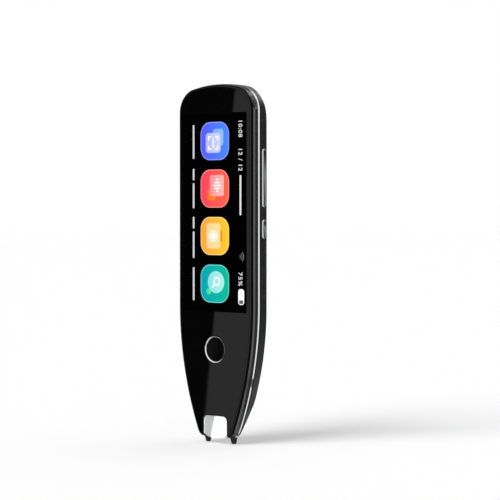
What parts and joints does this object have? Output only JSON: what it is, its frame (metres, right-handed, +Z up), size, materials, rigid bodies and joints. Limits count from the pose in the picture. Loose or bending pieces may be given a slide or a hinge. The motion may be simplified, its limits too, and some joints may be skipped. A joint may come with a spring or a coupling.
{
  "type": "scanning pen",
  "caption": "Hand-held scanning pen with a glass front screen, a round home key, side keys, a rear camera island and a forked tip that presses in when it touches the page.",
  "frame": {"origin": "centre of the closed body's bounding box", "axes": "+X to the side with the keys, -Y out of the glass, +Z up along the pen, with the scanning tip down"},
  "size_m": [0.041, 0.0134, 0.1466],
  "materials": {
    "cover_glass_black": "polished black glass",
    "bezel_black": "gloss black",
    "trim_chrome": "bright plated",
    "housing_gunmetal": "satin metallic paint",
    "screen_panel": "screen glass",
    "backlight": "white film and frame",
    "flex": "amber flexible circuit",
    "button_black": "gloss black",
    "ring_chrome": "bright plated",
    "board_green": "solder mask",
    "switch_steel": "stamped",
    "key_metal": "dark anodised with bright edges",
    "steel": "stamped",
    "port_steel": "drawn shell",
    "black_plastic": "moulded",
    "screw_steel": "machined",
    "antenna_ceramic": "sintered",
    "battery_foil": "foil pouch",
    "tape": "double-sided tape",
    "window_clear": "clear, faintly milky",
    "trigger_black": "fine satin",
    "spring_steel": "wire",
    "lens_glass": "coated lens",
    "light_white": "light bars",
    "rim_chrome": "bright plated",
    "window_black": "polished black glass",
    "flash_lens_cream": "prismatic diffuser",
    "mesh_steel": "dark woven mesh"
  },
  "bodies": {
    "pen": {"cover_glass": "cover_glass_black", "front_frame": "bezel_black", "chrome_trim": "trim_chrome", "rear_housing": "housing_gunmetal", "display_panel": "screen_panel", "display_backlight": "backlight", "display_cable": "flex", "home_button_ring": "ring_chrome", "home_board": "board_green", "home_switch": "switch_steel", "side_key_switches": "switch_steel", "side_key_board": "flex", "key_bracket": "steel", "usb_c_shell": "port_steel", "usb_c_tongue": "black_plastic", "main_board": "board_green", "board_screws": "screw_steel", "front_shield": "steel", "rear_shield": "steel", "antenna": "antenna_ceramic", "microphone": "steel", "battery": "battery_foil", "battery_tape": "tape", "scan_cable": "flex", "scan_window": "window_clear", "scan_eye": "black_plastic", "scan_lens": "lens_glass", "scan_board": "board_green", "scan_lights": "light_white", "trigger_springs": "spring_steel", "trigger_switch": "switch_steel", "camera_rim": "rim_chrome", "camera_window": "window_black", "camera_lens": "lens_glass", "camera_module": "black_plastic", "flash_lens": "flash_lens_cream", "flash_led": "light_white", "speaker_mesh": "mesh_steel", "speaker_box": "black_plastic"},
    "home_key": {"home_button": "button_black"},
    "volume_key": {"volume_rocker": "key_metal"},
    "power_key": {"power_button": "key_metal"},
    "tip": {"scan_trigger": "trigger_black"}
  },
  "joints": [
    {"name": "home_press", "type": "slide", "parent": "pen", "child": "home_key", "axis": [0, 1, 0], "range_m": [0, 0.0004], "stiffness_N_per_m": 200, "springref_m": -0.0006},
    {"name": "power_press", "type": "slide", "parent": "pen", "child": "power_key", "axis": [-1, 0, 0], "range_m": [0, 0.0004], "stiffness_N_per_m": 200, "springref_m": -0.0006},
    {"name": "volume_rock", "type": "hinge", "parent": "pen", "child": "volume_key", "pos_m": [0.0183, 0.0004, 0.0348], "axis": [0, 1, 0], "range_deg": [-1.5, 1.5], "stiffness_Nm_per_rad": 0.05},
    {"name": "tip_press", "type": "slide", "parent": "pen", "child": "tip", "axis": [0, 0, 1], "range_m": [0, 0.0008], "stiffness_N_per_m": 200, "springref_m": -0.001, "deforming": ["trigger_springs"]}
  ]
}
